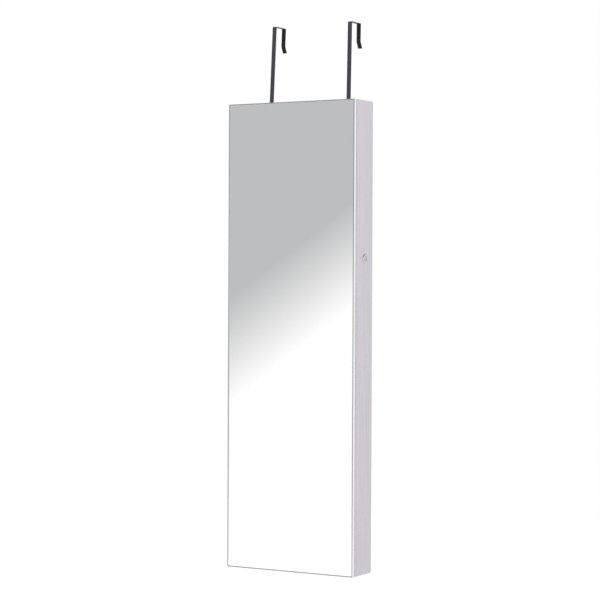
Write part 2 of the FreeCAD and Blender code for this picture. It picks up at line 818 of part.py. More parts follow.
def make_upright_trim(name, side):
    """An L strip of aluminium down one long edge of the mirror."""
    outer = f"{side} * half_width"
    leg = f"{side} * (half_width - trim_wall)"
    face = f"{side} * (half_width - trim_face)"
    body = start_body(name, (outer, "front", "0"))
    section = loop(
        (outer, "front"),
        (face, "front"),
        (face, "mirror_front"),
        (leg, "mirror_front"),
        (leg, "trim_back"),
        (outer, "trim_back"),
    )
    add_between(body, "z", "0", "cabinet_height", section)
    cuts = [mitre(side, end, True) for end in (-1, 1)]
    cut_between(body, "y", "front - cut_margin", "trim_back + cut_margin", *cuts)


def make_cross_trim(name, end):
    """The same strip along the mirror's top or bottom edge."""
    outer = "cabinet_height" if end > 0 else "0"
    leg = f"{outer} - {end} * trim_wall"
    face = f"{outer} - {end} * trim_face"
    body = start_body(name, ("-half_width", "front", outer))
    section = loop(
        ("front", outer),
        ("front", face),
        ("mirror_front", face),
        ("mirror_front", leg),
        ("trim_back", leg),
        ("trim_back", outer),
    )
    add_between(body, "x", "-half_width", "half_width", section)
    cuts = [mitre(side, end, False) for side in (-1, 1)]
    cut_between(body, "y", "front - cut_margin", "trim_back + cut_margin", *cuts)


def make_door_lining():
    left, right = "-inner_half + lining_margin", "inner_half - lining_side_margin"
    low, high = "end_wall + lining_margin", "inner_top - lining_margin"
    body = start_body("door_lining", (left, "door_back", low))
    add_between(body, "y", "door_back", "door_back + felt_wall", box(left, right, low, high))


def make_door_bumpers():
    """Two felt dots that land on the edge of the right side when the door shuts."""
    body = start_body("door_bumpers")
    x = "half_width - side_wall / 2"
    dots = [disc(x, z, "bumper_radius") for z in ("bumper_inset", "cabinet_height - bumper_inset")]
    add_between(body, "y", "door_back", "body_front - fit_gap", *dots)


def make_hinge_leaf(name, height, for_door):
    """A leaf with its share of the barrel: the middle knuckle on the door, the end ones on the cabinet."""
    body = start_body(name, ("pin_x", "pin_y", height))
    owner = "door" if for_door else "cabinet"
    near, far = f"{owner}_leaf_front", f"{owner}_leaf_back"
    plate_start = "pin_x + barrel_radius + barrel_gap"
    plate_end = "pin_x + leaf_reach"
    low, high = f"{height} - leaf_height / 2", f"{height} + leaf_height / 2"
    way = -1 if for_door else 1
    split_low = f"{height} - middle_knuckle / 2 - {way} * knuckle_gap / 2"
    split_high = f"{height} + middle_knuckle / 2 + {way} * knuckle_gap / 2"
    tabs = [(split_low, split_high)] if for_door else [(low, split_low), (split_high, high)]
    add_between(body, "y", near, far, box(plate_start, plate_end, low, high))
    for tab_low, tab_high in tabs:
        add_between(body, "y", near, far, box("pin_x", plate_start, tab_low, tab_high))
        add_between(body, "z", tab_low, tab_high, disc("pin_x", "pin_y", "barrel_radius"))
    bore = disc("pin_x", "pin_y", "pin_radius + shaft_gap")
    cut_between(body, "z", f"{low} - cut_margin", f"{high} + cut_margin", bore)
    level, towards = (far, -1) if for_door else (near, 1)
    holes = ("screw_radius + 2 * shaft_gap", "screw_head_radius + shaft_gap")
    sink_holes(body, "y", level, towards, leaf_spots(height), *holes, "leaf_wall + cut_margin")


def make_hinge_pin(name, height):
    body = start_body(name, ("pin_x", "pin_y", height))
    low = f"{height} - leaf_height / 2"
    high = f"{height} + leaf_height / 2"
    add_between(body, "z", low, high, disc("pin_x", "pin_y", "pin_radius"))
    head = disc("pin_x", "pin_y", "pin_head_radius")
    add_between(body, "z", high, f"{high} + pin_head_height", head)
    add_between(body, "z", f"{low} - pin_head_height", low, head)


def make_hook(name, x, lean):
    """A flat strap bent over the room door, with a lip turned out at its end."""
    body = start_body(name, (x, "back_board_back", "hook_height"), lean)
    near, far = "back_board_back", "back"
    top = "hook_height + hook_rise"
    leg_near = "back + hook_mouth"
    leg_far = f"{leg_near} + strap_wall"
    bend = f"{top} - hook_leg"
    tip = (f"{leg_near} + lip_out", f"{bend} - lip_drop")
    tip_far = (
        f"{tip[0]} + strap_wall * cos(lip_angle)",
        f"{tip[1]} + strap_wall * sin(lip_angle)",
    )
    bend_far = (leg_far, f"{bend} + strap_wall * tan(lip_angle / 2)")
    outline = loop(
        (near, "hook_height - strap_tail"),
        (near, top),
        (leg_far, top),
        bend_far,
        tip_far,
        tip,
        (leg_near, bend),
        (leg_near, f"{top} - strap_wall"),
        (far, f"{top} - strap_wall"),
        (far, "hook_height - strap_tail"),
    )
    add_between(body, "x", f"{x} - strap_width / 2", f"{x} + strap_width / 2", outline)
    round_edges(body, "x", [(far, f"{top} - strap_wall")], "front_bend")
    round_edges(body, "x", [(near, top)], "front_bend + strap_wall")
    round_edges(body, "x", [(leg_near, f"{top} - strap_wall")], "rear_bend")
    round_edges(body, "x", [(leg_far, top)], "rear_bend + strap_wall")
    round_edges(body, "x", [bend_far], "lip_bend")
    round_edges(body, "x", [(leg_near, bend)], "lip_bend + strap_wall")
    holes = ("hook_screw_radius + 2 * shaft_gap", "hook_screw_head_radius + shaft_gap")
    sink_holes(body, "y", far, -1, hook_spots(x), *holes, "strap_wall + cut_margin")
    screws = start_body(name + "_screws", (x, "back_board_back", "hook_height"), lean)
    sizes = ("hook_screw_radius", "hook_screw_head_radius", "hook_screw_length")
    add_screws(screws, "y", far, -1, hook_spots(x), *sizes)


def make_lock():
    """Housing through the right side, nut, and a plug that turns a hook cam behind it."""
    start = ("housing_end", "lock_y", "lock_z")
    housing = start_body("lock_housing", start)
    bore = "lock_z + plug_radius + shaft_gap"
    groove = f"{bore} + groove_width"
    section = loop(
        ("housing_end", bore),
        ("housing_end", "lock_z + housing_radius"),
        ("half_width", "lock_z + housing_radius"),
        ("half_width", "lock_z + flange_radius"),
        ("half_width + flange_rim", "lock_z + flange_radius"),
        ("flange_face", "lock_z + flange_radius - flange_slope"),
        ("flange_face", groove),
        ("flange_face - groove_depth", groove),
        ("flange_face - groove_depth", bore),
    )
    turned = housing.newObject("PartDesign::Revolution", "lock_housing_turned")
    turned.Profile = draw(housing, "y", "lock_y", [section])
    turned.ReferenceAxis = (origin_part(housing, "X_Axis"), [""])
    turned.Angle = FULL_TURN

    nut = start_body("lock_nut", ("inner_half - nut_wall", "lock_y", "lock_z"))
    angles = [FULL_TURN / NUT_SIDES * side for side in range(NUT_SIDES)]
    nut_corners = [(f"lock_y + nut_radius * cos({a})", f"lock_z + nut_radius * sin({a})") for a in angles]
    add_between(nut, "x", "inner_half - nut_wall", "inner_half", loop(*nut_corners))
    thread = disc("lock_y", "lock_z", "housing_radius + shaft_gap")
    cut_between(nut, "x", "inner_half - nut_wall - cut_margin", "inner_half + cut_margin", thread)

    plug = start_body("lock_plug", start)
    face = "flange_face - plug_sink"
    tail_end = "cam_inner + fit_gap / 2"
    add_between(plug, "x", "housing_end", face, disc("lock_y", "lock_z", "plug_radius"))
    add_between(plug, "x", tail_end, "housing_end", square("tail_side"))
    wide, tall = "key_slot_width / 2", "key_slot_height / 2"
    slot = box(f"lock_y - {wide}", f"lock_y + {wide}", f"lock_z - {tall}", f"lock_z + {tall}")
    cut_between(plug, "x", f"{face} - key_slot_depth", f"{face} + cut_margin", slot)
    thread = disc("lock_y", "lock_z", "cam_screw_radius + shaft_gap")
    cut_between(plug, "x", f"{tail_end} - cut_margin", "cam_inner + cam_screw_length + shaft_gap", thread)

    screw = start_body("lock_cam_screw", start)
    head_end = "cam_inner - cam_screw_head_height"
    add_between(screw, "x", head_end, "cam_inner", disc("lock_y", "lock_z", "cam_screw_head_radius"))
    seat = value("cam_inner - housing_end")
    bevel_rims(screw, lambda curve: curve.Center.x < seat - NEAR, "cam_screw_bevel")
    shank = disc("lock_y", "lock_z", "cam_screw_radius")
    add_between(screw, "x", "cam_inner", "cam_inner + cam_screw_length", shank)


def square(side):
    half = f"{side} / 2"
    return box(f"lock_y - {half}", f"lock_y + {half}", f"lock_z - {half}", f"lock_z + {half}")


def make_cam():
    """At rest the cam hangs down, unlocked. A quarter turn brings its nose round the keeper's loop."""
    body = start_body("lock_cam", ("cam_inner", "lock_y", "lock_z"))
    add_between(body, "x", "cam_inner", "cam_outer", disc("lock_y", "lock_z", "cam_hub_radius"))
    arm_start = "lock_y + loop_height / 2 + cam_play"
    arm_end = f"{arm_start} + cam_arm_width"
    arm_low = "lock_z - nose_inner - cam_nose_wall / 2"
    add_between(body, "x", "cam_inner", "cam_outer", box(arm_start, arm_end, arm_low, "lock_z"))
    section = box("cam_inner", "cam_outer", "lock_z - nose_outer", "lock_z - nose_inner")
    nose = body.newObject("PartDesign::Revolution", "lock_cam_nose")
    nose.Profile = draw(body, "y", "lock_y", [section])
    nose.ReferenceAxis = (origin_part(body, "X_Axis"), [""])
    nose.Midplane = True
    bind(nose, "Angle", "2 * cam_nose_angle")
    hole = square("(tail_side + 4 * shaft_gap)")
    cut_between(body, "x", "cam_inner - cut_margin", "cam_outer + cut_margin", hole)


def make_keeper():
    """A plate on the door's back with a square loop standing out of it."""
    body = start_body("lock_keeper", ("cam_middle", "door_back", "lock_z"))
    half, tall = "keeper_width / 2", "keeper_height / 2"
    plate = box(f"cam_middle - {half}", f"cam_middle + {half}", f"lock_z - {tall}", f"lock_z + {tall}")
    add_between(body, "y", "door_back", "keeper_face", plate)
    left, right = "cam_middle - loop_width / 2", "cam_middle + loop_width / 2"
    strip = loop(
        (left, "keeper_face"),
        (left, "loop_end"),
        (right, "loop_end"),
        (right, "keeper_face"),
        (f"{right} - loop_wall", "keeper_face"),
        (f"{right} - loop_wall", "loop_end - loop_wall"),
        (f"{left} + loop_wall", "loop_end - loop_wall"),
        (f"{left} + loop_wall", "keeper_face"),
    )
    add_between(body, "z", "lock_z - loop_height / 2", "lock_z + loop_height / 2", strip)
    round_edges(body, "z", [(left, "loop_end"), (right, "loop_end")], "loop_round")
    holes = ("screw_radius + 2 * shaft_gap", "screw_head_radius + shaft_gap")
    sink_holes(body, "y", "keeper_face", -1, keeper_spots(), *holes, "keeper_wall + cut_margin")


def make_catch():
    """A magnet between two steel poles, in a shell on the right side, and its strike plate on the door."""
    low, high = "catch_z - catch_height / 2", "catch_z + catch_height / 2"
    back_face = "pole_front + catch_depth"
    start = ("catch_inner", "pole_front", "catch_z")
    housing = start_body("catch_housing", start)
    add_between(housing, "y", "body_front", back_face, box("catch_inner", "inner_half", low, high))
    lug = box("inner_half - catch_lug_wall", "inner_half", f"{low} - catch_lug", f"{high} + catch_lug")
    lug_near = "pole_front + (catch_depth - catch_lug_depth) / 2"
    add_between(housing, "y", lug_near, f"{lug_near} + catch_lug_depth", lug)
    stack = "(magnet_wall / 2 + pole_wall + fit_gap)"
    ends = (f"{low} + catch_shell", f"{high} - catch_shell")
    mouth = box(f"catch_middle - {stack}", f"catch_middle + {stack}", *ends)
    cut_between(housing, "y", "body_front - cut_margin", "pole_front + magnet_depth", mouth)
    holes = [disc(y, z, "screw_radius + 2 * shaft_gap") for y, z in catch_spots()]
    cut_between(housing, "x", "inner_half - catch_lug_wall - cut_margin", "inner_half + cut_margin", *holes)

    inner_low, inner_high = f"{low} + catch_shell + fit_gap", f"{high} - catch_shell - fit_gap"
    magnet = start_body("catch_magnet", start)
    block = box("catch_middle - magnet_wall / 2", "catch_middle + magnet_wall / 2", inner_low, inner_high)
    add_between(magnet, "y", "pole_front + pole_wall", "pole_front + magnet_depth", block)
    poles = start_body("catch_poles", start)
    for side in (-1, 1):
        steps = ("magnet_wall / 2", "magnet_wall / 2 + pole_wall")
        walls = [f"catch_middle + {side} * ({step})" for step in steps]
        pole = box(*walls[::side], inner_low, inner_high)
        add_between(poles, "y", "pole_front", "pole_front + magnet_depth", pole)

    strike = start_body("strike_plate", ("catch_middle", "door_back", "catch_z"))
    half, tall = "strike_width / 2", "strike_height / 2"
    plate = box(f"catch_middle - {half}", f"catch_middle + {half}", f"catch_z - {tall}", f"catch_z + {tall}")
    add_between(strike, "y", "door_back", "strike_face", plate)
    holes = ("screw_radius + 2 * shaft_gap", "screw_head_radius + shaft_gap")
    sink_holes(strike, "y", "strike_face", -1, strike_spots(), *holes, "strike_wall + cut_margin")


def make_screws():
    sizes = ("screw_radius", "screw_head_radius")
    cabinet = start_body("hinge_cabinet_screws")
    add_screws(cabinet, "y", "cabinet_leaf_front", 1, all_leaf_spots(), *sizes, "screw_length")
    door = start_body("hinge_door_screws")
    add_screws(door, "y", "door_leaf_back", -1, all_leaf_spots(), *sizes, "short_screw_length")
    fittings = start_body("door_fitting_screws")
    add_screws(fittings, "y", "keeper_face", -1, keeper_spots(), *sizes, "short_screw_length")
    add_screws(fittings, "y", "strike_face", -1, strike_spots(), *sizes, "short_screw_length")
    catch = start_body("catch_screws")
    seat = "inner_half - catch_lug_wall"
    heads = [disc(y, z, "screw_head_radius") for y, z in catch_spots()]
    shanks = [disc(y, z, "screw_radius") for y, z in catch_spots()]
    add_between(catch, "x", f"{seat} - pan_head", seat, *heads)
    add_between(catch, "x", seat, f"{seat} + catch_screw_length", *shanks)


def check_and_write():
    """Nothing is written unless every object is up to date and every cut took something away."""
    doc.recompute()
    faults = []
    for item in doc.Objects:
        if "Invalid" in item.State or "Error" in item.State:
            faults.append(f"{item.Name} {item.State}")
        if item.TypeId in ("PartDesign::Pocket", "PartDesign::Hole") and not faults:
            if item.Shape.Volume > item.BaseFeature.Shape.Volume - NEAR:
                faults.append(f"{item.Name} cuts nothing")
    for body in bodies:
        if body.Shape.isNull() or not body.Shape.isValid():
            faults.append(f"{body.Label} has no sound shape")
    if faults:
        raise RuntimeError("; ".join(faults))
    os.makedirs("parts", exist_ok=True)
    for body in bodies:
        body.Shape.exportStep(f"parts/{body.Label}.step")
        print(body.Label, len(body.Shape.Solids), "solids", round(body.Shape.Volume / 1000, 3), "cm3")


fill_sheet()
make_left_side()
make_right_side()
make_top_board()
make_end_board("bottom_board", False)
make_back_board()
make_hanging_rail()
make_dowels()
for shelf_name in SHELVES:
    make_shelf(shelf_name)
make_shelf_pins()
make_shelf_lips()
make_shelf_mats()
make_back_lining()
make_ring_cushion()
make_earring_panel()
make_necklace_rail()
make_necklace_pegs()
make_bracelet_rod()
make_door_board()
make_mirror()
make_upright_trim("trim_left", -1)
make_upright_trim("trim_right", 1)
make_cross_trim("trim_top", 1)
make_cross_trim("trim_bottom", -1)
make_door_lining()
make_door_bumpers()
for place, hinge_height in HINGE_HEIGHTS.items():
    make_hinge_leaf(f"hinge_{place}_cabinet_leaf", hinge_height, False)
    make_hinge_leaf(f"hinge_{place}_door_leaf", hinge_height, True)
    make_hinge_pin(f"hinge_{place}_pin", hinge_height)
make_hook("hook_left", "hook_left_x", "hook_left_lean")
make_hook("hook_right", "hook_right_x", "hook_right_lean")
make_lock()
make_cam()
make_keeper()
make_catch()
make_screws()
check_and_write()
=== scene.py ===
import bpy
import bmesh
import math
import numpy as np
from mathutils import Matrix, Vector


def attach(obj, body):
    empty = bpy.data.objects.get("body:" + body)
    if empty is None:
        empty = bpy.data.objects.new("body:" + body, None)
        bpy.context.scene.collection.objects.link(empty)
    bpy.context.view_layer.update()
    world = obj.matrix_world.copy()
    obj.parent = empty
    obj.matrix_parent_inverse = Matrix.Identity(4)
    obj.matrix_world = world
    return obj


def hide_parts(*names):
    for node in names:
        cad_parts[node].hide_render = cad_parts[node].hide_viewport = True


# Hanging jewelry cabinet with a full mirror door. Metres: X to the right, Y to the back, Z up.
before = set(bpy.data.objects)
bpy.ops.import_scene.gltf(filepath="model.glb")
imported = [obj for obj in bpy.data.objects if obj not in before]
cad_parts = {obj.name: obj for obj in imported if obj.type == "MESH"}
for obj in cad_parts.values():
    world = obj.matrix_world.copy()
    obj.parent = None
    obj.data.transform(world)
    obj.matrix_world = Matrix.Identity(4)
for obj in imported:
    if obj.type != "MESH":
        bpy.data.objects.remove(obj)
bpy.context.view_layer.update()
mm = 0.001
print("frame loaded")


def linear(hexColour):
    # sRGB hex value to the linear colour that a shader takes
    c = np.array([int(hexColour[i:i + 2], 16) for i in (1, 3, 5)]) / 255
    c = np.where(c <= 0.04045, c / 12.92, ((c + 0.055) / 1.055) ** 2.4)
    return (*c.tolist(), 1.0)


def addNode(tree, kind, inputs=None, stops=None, **settings):
    # one node: its settings, its ramp stops as (place, hex colour), and each input as a value or a socket
    made = tree.nodes.new("ShaderNode" + kind)
    for name, value in settings.items():
        setattr(made, name, value)
    for number, (place, colour) in enumerate(stops or []):
        line = made.color_ramp.elements
        stop = line[number] if number < 2 else line.new(place)
        stop.position, stop.color = place, linear(colour)
    for name, value in (inputs or {}).items():
        if isinstance(value, bpy.types.NodeSocket):
            tree.links.new(value, made.inputs[name])
        else:
            made.inputs[name].default_value = value
    return made


def newMaterial(name, **sockets):
    # a material, its tree and its Principled shader, with plain values set on the shader's own sockets
    made = bpy.data.materials.new(name)
    made.use_nodes = True
    shader = made.node_tree.nodes["Principled BSDF"]
    for socket, value in sockets.items():
        shader.inputs[socket.replace("_", " ")].default_value = value
    return made, made.node_tree, shader


def inMillimetres(tree, x, y, z):
    # the object's own coordinates, divided by the pattern's size in mm along each axis
    point = addNode(tree, "TexCoord").outputs["Object"]
    scale = (1000 / x, 1000 / y, 1000 / z)
    return addNode(tree, "Mapping", {"Vector": point, "Scale": scale}).outputs["Vector"]


def seenDirectly(tree):
    # 1 for what the camera, a mirror or glass sees and 0 for light on its way to matt surfaces, and the rays
    rays = addNode(tree, "LightPath").outputs
    seen = addNode(tree, "Math", {0: rays["Is Camera Ray"], 1: rays["Is Glossy Ray"]}, operation="MAXIMUM")
    seen = addNode(tree, "Math", {0: seen.outputs[0], 1: rays["Is Transmission Ray"]}, operation="MAXIMUM")
    return seen.outputs[0], rays


def foilBoard(name, grainAlong, primedFrom=None):
    # Fibreboard wrapped in printed whitewashed-oak foil: pale violet grey, soft streaks, a low satin sheen.
    # Streaks, fine grain and pores are three noises stretched along the grain, with sizes in mm.
    look = {"streakWidth": 22, "streakLength": 520, "fineWidth": 3.5, "fineLength": 170, "poreWidth": 0.8,
            "poreLength": 16, "poreShare": 0.55, "grey": "#CECFD3", "pink": "#D6CFD6", "pore": "#BEBDC2",
            "primed": "#CACDCA", "primedFade": 3}
    made, tree, shader = newMaterial(name, Roughness=0.46, IOR=1.5)
    shape = {axis: look["streakWidth"] for axis in "xyz"}
    shape[grainAlong] = look["streakLength"]
    broad = addNode(tree, "TexNoise", {"Vector": inMillimetres(tree, **shape), "Scale": 1.0, "Detail": 4.0,
                                       "Roughness": 0.55, "Distortion": 0.6}).outputs["Fac"]
    base = addNode(tree, "ValToRGB", {"Fac": broad},
                   [(0.34, look["grey"]), (0.66, look["pink"])]).outputs["Color"]
    shape = {axis: look["fineWidth"] for axis in "xyz"}
    shape[grainAlong] = look["fineLength"]
    fine = addNode(tree, "TexNoise", {"Vector": inMillimetres(tree, **shape), "Scale": 1.0, "Detail": 3.0,
                                      "Roughness": 0.6, "Distortion": 0.3}).outputs["Fac"]
    fine = addNode(tree, "ValToRGB", {"Fac": fine}, [(0.38, "#F5F5F6"), (0.62, "#FFFFFF")]).outputs["Color"]
    base = addNode(tree, "Mix", {0: 1.0, 6: base, 7: fine}, data_type="RGBA", blend_type="MULTIPLY").outputs[2]
    shape = {axis: look["poreWidth"] for axis in "xyz"}
    shape[grainAlong] = look["poreLength"]
    pores = addNode(tree, "TexNoise", {"Vector": inMillimetres(tree, **shape), "Scale": 1.0,
                                       "Detail": 1.0}).outputs["Fac"]
    pores = addNode(tree, "MapRange", {"Value": pores, "From Min": 0.6, "From Max": 0.72}).outputs["Result"]
    share = addNode(tree, "Math", {0: pores, 1: look["poreShare"]}, operation="MULTIPLY").outputs[0]
    base = addNode(tree, "Mix", {0: share, 6: base, 7: linear(look["pore"])}, data_type="RGBA").outputs[2]
    if primedFrom:  # the foil ends near the board's back edge, where the primed board shows
        depth = addNode(tree, "SeparateXYZ", {0: addNode(tree, "TexCoord").outputs["Object"]}).outputs["Y"]
        bare = addNode(tree, "MapRange", {"Value": depth, "From Min": primedFrom * mm,
                                          "From Max": (primedFrom + look["primedFade"]) * mm}).outputs["Result"]
        base = addNode(tree, "Mix", {0: bare, 6: base, 7: linear(look["primed"])}, data_type="RGBA").outputs[2]
    tree.links.new(base, shader.inputs["Base Color"])
    bump = addNode(tree, "Bump", {"Height": pores, "Strength": 0.25, "Distance": 0.05 * mm}, invert=True)
    tree.links.new(bump.outputs["Normal"], shader.inputs["Normal"])
    return made


def fibreCloth(name, look):
    # Short fibres in every direction: a dark matt body with a soft bright bloom at grazing angles.
    made, tree, shader = newMaterial(name, Roughness=look["roughness"], Sheen_Weight=look["sheen"],
                                     Sheen_Roughness=0.45, Sheen_Tint=linear(look["bloom"]))
    clumps = addNode(tree, "TexNoise", {"Vector": inMillimetres(tree, *[look["clump"]] * 3), "Scale": 1.0,
                                        "Detail": 3.0, "Roughness": 0.6}).outputs["Fac"]
    base = addNode(tree, "ValToRGB", {"Fac": clumps},
                   [(0.35, look["dark"]), (0.65, look["light"])]).outputs["Color"]
    tree.links.new(base, shader.inputs["Base Color"])
    hairs = addNode(tree, "TexNoise", {"Vector": inMillimetres(tree, *[look["fibre"]] * 3), "Scale": 1.0,
                                       "Detail": 2.0, "Distortion": 2.0}).outputs["Fac"]
    bump = addNode(tree, "Bump", {"Height": hairs, "Strength": 0.6, "Distance": look["depth"] * mm})
    tree.links.new(bump.outputs["Normal"], shader.inputs["Normal"])
    return made


def plainMetal(name, colour, rough, grain, tint):
    # Bare or plated metal: full reflections, softened by a fine uneven finish with grains of that size in mm.
    made, tree, shader = newMaterial(name, Metallic=1.0, Roughness=rough[0])
    spots = addNode(tree, "TexNoise", {"Vector": inMillimetres(tree, *grain), "Scale": 1.0, "Detail": 3.0,
                                       "Roughness": 0.6}).outputs["Fac"]
    base = addNode(tree, "ValToRGB", {"Fac": spots}, [(0.3, colour), (0.7, tint)]).outputs["Color"]
    tree.links.new(base, shader.inputs["Base Color"])
    uneven = addNode(tree, "MapRange", {"Value": spots, "From Min": 0.3, "From Max": 0.7,
                                        "To Min": rough[0], "To Max": rough[1]}).outputs["Result"]
    tree.links.new(uneven, shader.inputs["Roughness"])
    return made


# Silvered float glass: a clean reflection with the least trace of wiping marks.
mirror, tree, shader = newMaterial("silveredGlass", Metallic=1.0, Roughness=0.0, Base_Color=linear("#FEFFFE"))
smears = addNode(tree, "TexNoise", {"Vector": inMillimetres(tree, 60, 60, 110), "Scale": 1.0,
                                    "Detail": 2.0}).outputs["Fac"]
smears = addNode(tree, "MapRange", {"Value": smears, "From Min": 0.5, "From Max": 0.8,
                                    "To Max": 0.012}).outputs["Result"]
tree.links.new(smears, shader.inputs["Roughness"])

# Flat steel with a fine-textured powder coat: violet black with a broad soft shine, matt on the bent rear ends,
# which are also coloured near black as painted shade.
powderBlack, tree, shader = newMaterial("blackPowderCoat", Roughness=0.4, IOR=1.5)
peel = addNode(tree, "TexNoise", {"Vector": inMillimetres(tree, 0.5, 0.5, 0.5), "Scale": 1.0,
                                  "Detail": 2.0}).outputs["Fac"]
base = addNode(tree, "ValToRGB", {"Fac": peel}, [(0.3, "#312F39"), (0.7, "#39373F")]).outputs["Color"]
depth = addNode(tree, "SeparateXYZ", {0: addNode(tree, "TexCoord").outputs["Object"]}).outputs["Y"]
rearShadeFrom = 92 * mm
rearShadeAndMatt = addNode(tree, "MapRange", {"Value": depth, "From Min": rearShadeFrom,
                                  "From Max": rearShadeFrom + 3 * mm}).outputs["Result"]
# painted shade: from 92 mm back the coat's colour is mixed to near black #111112, standing in for shade on the
# rear ends
base = addNode(tree, "Mix", {0: rearShadeAndMatt, 6: base, 7: linear("#111112")}, data_type="RGBA").outputs[2]
rough = addNode(tree, "MapRange", {"Value": rearShadeAndMatt, "To Min": 0.4, "To Max": 0.7}).outputs["Result"]
tree.links.new(rough, shader.inputs["Roughness"])
tree.links.new(base, shader.inputs["Base Color"])
bump = addNode(tree, "Bump", {"Height": peel, "Strength": 0.3, "Distance": 0.05 * mm})
tree.links.new(bump.outputs["Normal"], shader.inputs["Normal"])

# Moulded nylon: near black, evenly matt, with the fine spark-eroded grain of its mould.
nylon, tree, shader = newMaterial("mouldedNylon", Roughness=0.5, IOR=1.53)
spark = addNode(tree, "TexNoise", {"Vector": inMillimetres(tree, 0.35, 0.35, 0.35), "Scale": 1.0,
                                   "Detail": 1.0}).outputs["Fac"]
base = addNode(tree, "ValToRGB", {"Fac": spark}, [(0.3, "#1B1B1D"), (0.7, "#242427")]).outputs["Color"]
tree.links.new(base, shader.inputs["Base Color"])
bump = addNode(tree, "Bump", {"Height": spark, "Strength": 0.3, "Distance": 0.03 * mm})
tree.links.new(bump.outputs["Normal"], shader.inputs["Normal"])

# Turned beech: warm straw with short darker flecks along the grain.
beech, tree, shader = newMaterial("turnedBeech", Roughness=0.55, IOR=1.5)
flecks = addNode(tree, "TexNoise", {"Vector": inMillimetres(tree, 6, 0.7, 0.7), "Scale": 1.0,
                                    "Detail": 2.0}).outputs["Fac"]
base = addNode(tree, "ValToRGB", {"Fac": flecks}, [(0.35, "#B98B5E"), (0.6, "#D6B083")]).outputs["Color"]
tree.links.new(base, shader.inputs["Base Color"])

# Satin sheet plastic: clean warm white with a faint pressed grain.
whiteSheet, tree, shader = newMaterial("satinWhiteSheet", Roughness=0.42, IOR=1.5)
pressed = addNode(tree, "TexNoise", {"Vector": inMillimetres(tree, 0.6, 0.6, 0.6), "Scale": 1.0,
                                     "Detail": 1.0}).outputs["Fac"]
base = addNode(tree, "ValToRGB", {"Fac": pressed}, [(0.3, "#E3E2E1"), (0.7, "#EAE9E8")]).outputs["Color"]
tree.links.new(base, shader.inputs["Base Color"])
bump = addNode(tree, "Bump", {"Height": pressed, "Strength": 0.2, "Distance": 0.02 * mm})
tree.links.new(bump.outputs["Normal"], shader.inputs["Normal"])

# Velvet of short upright pile and needled felt. Pile depths, fibre widths and clumps are in mm; the fibres are
# drawn several times coarser than real ones, so that they show.
velvet = fibreCloth("blackVelvet", {"roughness": 0.85, "sheen": 0.9, "bloom": "#9A96A6", "clump": 5,
                                    "dark": "#121115", "light": "#1E1C23", "fibre": 0.5, "depth": 0.25})
felt = fibreCloth("blackFelt", {"roughness": 0.95, "sheen": 0.35, "bloom": "#8C8A92", "clump": 9,
                                "dark": "#151418", "light": "#212025", "fibre": 0.9, "depth": 0.3})

foilSide = foilBoard("whitewashedFoilSide", "z", primedFrom=38)
foilUpright = foilBoard("whitewashedFoilUpright", "z")
foilLevel = foilBoard("whitewashedFoilLevel", "x")

# Extruded aluminium edging: bright polished sides; front faces brushed duller, with painted shade making them
# darker.
aluminiumUpright = plainMetal("satinAluminiumUpright", "#F2F2F6", (0.16, 0.26), (0.3, 0.3, 30), "#F8F8FB")
aluminiumLevel = plainMetal("satinAluminiumLevel", "#F2F2F6", (0.16, 0.26), (30, 0.3, 0.3), "#F8F8FB")
for material in (aluminiumUpright, aluminiumLevel):
    tree = material.node_tree
    shader = tree.nodes["Principled BSDF"]
    facing = addNode(tree, "SeparateXYZ", {0: addNode(tree, "TexCoord").outputs["Normal"]}).outputs["Y"]
    frontShadeAndMatt = addNode(tree, "MapRange", {"Value": facing, "From Min": -0.5, "From Max": -0.8}).outputs["Result"]
    polished = shader.inputs["Base Color"].links[0].from_socket
    # painted shade: faces turned to the front take the darker grey #C3BDC4 in place of the bright aluminium
    # colour
    base = addNode(tree, "Mix", {0: frontShadeAndMatt, 6: polished, 7: linear("#C3BDC4")}, data_type="RGBA").outputs[2]
    tree.links.new(base, shader.inputs["Base Color"])
    fineGrain = shader.inputs["Roughness"].links[0].from_socket
    rough = addNode(tree, "Mix", {0: frontShadeAndMatt, 2: fineGrain, 3: 0.5}, data_type="FLOAT").outputs[0]
    tree.links.new(rough, shader.inputs["Roughness"])

# Zinc plate with grey spangles, bright nickel on a zinc casting, and dark sintered ferrite.
zinc = plainMetal("zincPlatedSteel", "#C3C6CB", (0.28, 0.4), (2.2, 2.2, 2.2), "#D2D4D8")
nickel = plainMetal("nickelPlatedZinc", "#CBC9CD", (0.12, 0.2), (1.2, 1.2, 1.2), "#D4D1D5")
ferrite = plainMetal("sinteredFerrite", "#3A3A3D", (0.5, 0.6), (0.4, 0.4, 0.4), "#48484B")

finishes = {
    foilSide: ["left_side", "right_side"],
    foilUpright: ["door_board", "back_board", "earring_cleats"],
    foilLevel: ["top_board", "bottom_board", "hanging_rail", "ring_shelf", "earring_shelf", "upper_shelf",
                "middle_shelf", "lower_shelf", "shelf_lips", "ring_board", "necklace_rail"],
    mirror: ["mirror_glass"],
    aluminiumUpright: ["trim_left", "trim_right"],
    aluminiumLevel: ["trim_top", "trim_bottom"],
    powderBlack: ["hook_left", "hook_right"],
    nylon: ["catch_housing"],
    ferrite: ["catch_magnet"],
    beech: ["carcass_dowels"],
    whiteSheet: ["earring_panel"],
    zinc: ["shelf_pins", "lock_nut", "lock_cam", "lock_cam_screw", "lock_keeper", "catch_poles", "strike_plate"]
          + [f"hinge_{place}_{piece}" for place in ("top", "middle", "bottom")
             for piece in ("cabinet_leaf", "door_leaf", "pin")],
    nickel: ["bracelet_rod", "rod_sockets", "lock_housing", "lock_plug"],
}
for material, names in finishes.items():
    for name in names:
        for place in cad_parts[name].material_slots:
            place.material = material
print("materials given to the carried-over nodes")


